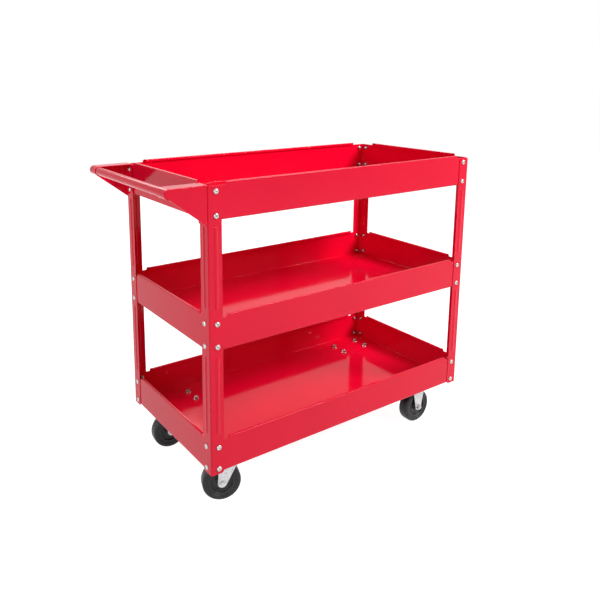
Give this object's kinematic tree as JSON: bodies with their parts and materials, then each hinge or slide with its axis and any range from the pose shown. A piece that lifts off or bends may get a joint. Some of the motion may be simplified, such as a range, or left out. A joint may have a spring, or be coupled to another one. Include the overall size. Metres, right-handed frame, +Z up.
{
  "type": "rolling tool cart",
  "caption": "Open sheet-steel service cart: stacked lipped trays on angle posts, a push handle at one end, swivel casters under the handle and rigid ones under the nose.",
  "frame": {"origin": "on the floor, under the middle of the bounding box", "axes": "+X from the handle to the nose, +Y to the left of the person who pushes, +Z up"},
  "size_m": [0.9548, 0.4376, 0.8145],
  "materials": {
    "red_powder_coat": "gloss",
    "galvanised_steel": "spangled zinc",
    "zinc_bolt": "bright zinc plate",
    "black_plastic": "moulded",
    "black_rubber": "matt"
  },
  "bodies": {
    "cart_frame": {"bottom_tray": "red_powder_coat", "bottom_tray_bolts": "zinc_bolt", "bottom_tray_nuts": "zinc_bolt", "middle_tray": "red_powder_coat", "middle_tray_bolts": "zinc_bolt", "middle_tray_nuts": "zinc_bolt", "top_tray": "red_powder_coat", "top_tray_bolts": "zinc_bolt", "top_tray_nuts": "zinc_bolt", "handle_left_post": "red_powder_coat", "handle_right_post": "red_powder_coat", "nose_left_post": "red_powder_coat", "nose_right_post": "red_powder_coat", "handle_bracket_left": "red_powder_coat", "handle_bracket_right": "red_powder_coat", "handle_grip": "red_powder_coat", "handle_left_caster_plate": "galvanised_steel", "handle_left_upper_race": "galvanised_steel", "handle_left_lower_race": "galvanised_steel", "handle_left_race_cup": "galvanised_steel", "handle_left_kingpin": "galvanised_steel", "handle_right_caster_plate": "galvanised_steel", "handle_right_upper_race": "galvanised_steel", "handle_right_lower_race": "galvanised_steel", "handle_right_race_cup": "galvanised_steel", "handle_right_kingpin": "galvanised_steel", "nose_left_caster_plate": "galvanised_steel", "nose_left_fork": "galvanised_steel", "nose_left_axle_bolt": "zinc_bolt", "nose_left_axle_nut": "zinc_bolt", "nose_left_axle_sleeve": "zinc_bolt", "nose_right_caster_plate": "galvanised_steel", "nose_right_fork": "galvanised_steel", "nose_right_axle_bolt": "zinc_bolt", "nose_right_axle_nut": "zinc_bolt", "nose_right_axle_sleeve": "zinc_bolt", "caster_bolts": "zinc_bolt", "caster_nuts": "zinc_bolt"},
    "handle_left_wheel": {"handle_left_wheel_hub": "black_plastic", "handle_left_tyre": "black_rubber"},
    "handle_left_swivel": {"handle_left_fork": "galvanised_steel", "handle_left_axle_bolt": "zinc_bolt", "handle_left_axle_nut": "zinc_bolt", "handle_left_axle_sleeve": "zinc_bolt"},
    "handle_right_wheel": {"handle_right_wheel_hub": "black_plastic", "handle_right_tyre": "black_rubber"},
    "handle_right_swivel": {"handle_right_fork": "galvanised_steel", "handle_right_axle_bolt": "zinc_bolt", "handle_right_axle_nut": "zinc_bolt", "handle_right_axle_sleeve": "zinc_bolt"},
    "nose_left_wheel": {"nose_left_wheel_hub": "black_plastic", "nose_left_tyre": "black_rubber"},
    "nose_right_wheel": {"nose_right_wheel_hub": "black_plastic", "nose_right_tyre": "black_rubber"}
  },
  "joints": [
    {"name": "handle_left_swivel_turn", "type": "hinge", "parent": "cart_frame", "child": "handle_left_swivel", "pos_m": [-0.2774, 0.146, 0.117], "axis": [0, 0, 1], "continuous": true},
    {"name": "handle_left_wheel_spin", "type": "hinge", "parent": "handle_left_swivel", "child": "handle_left_wheel", "pos_m": [-0.30633, 0.14802, 0.049], "axis": [-0.0698, -0.9976, 0], "continuous": true},
    {"name": "handle_right_swivel_turn", "type": "hinge", "parent": "cart_frame", "child": "handle_right_swivel", "pos_m": [-0.2774, -0.146, 0.117], "axis": [0, 0, 1], "continuous": true},
    {"name": "handle_right_wheel_spin", "type": "hinge", "parent": "handle_right_swivel", "child": "handle_right_wheel", "pos_m": [-0.30465, -0.13608, 0.049], "axis": [-0.342, -0.9397, 0], "continuous": true},
    {"name": "nose_left_wheel_spin", "type": "hinge", "parent": "cart_frame", "child": "nose_left_wheel", "pos_m": [0.3746, 0.146, 0.049], "axis": [0, 1, 0], "continuous": true},
    {"name": "nose_right_wheel_spin", "type": "hinge", "parent": "cart_frame", "child": "nose_right_wheel", "pos_m": [0.3746, -0.146, 0.049], "axis": [0, 1, 0], "continuous": true}
  ]
}
